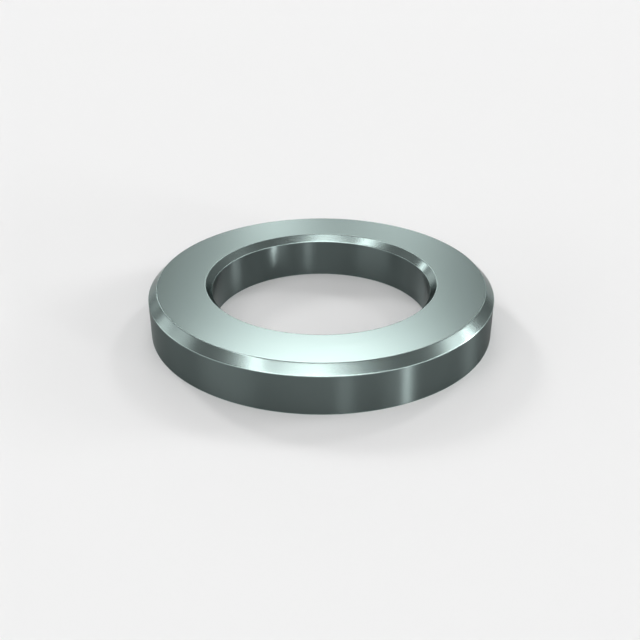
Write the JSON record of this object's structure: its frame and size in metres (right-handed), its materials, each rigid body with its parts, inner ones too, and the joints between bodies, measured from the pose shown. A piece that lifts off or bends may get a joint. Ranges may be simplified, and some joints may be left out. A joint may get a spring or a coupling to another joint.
{
  "type": "plain washer",
  "caption": "Flat round steel washer with a chamfer round the top of its rim and round the mouth of its bore. It spreads the load under a bolt head, nut or pin.",
  "frame": {"origin": "centre of the bore on the flat seat face", "axes": "+Z along the bore, from the seat face to the chamfered top face; +X and +Y lie in the seat face and are equal"},
  "size_m": [0.022, 0.022, 0.003],
  "materials": {
    "steel": "bright machined steel with a cool grey-green cast, satin gloss, fine turning marks and crisp chamfers"
  },
  "bodies": {
    "root": {"washer": "steel"}
  },
  "joints": []
}
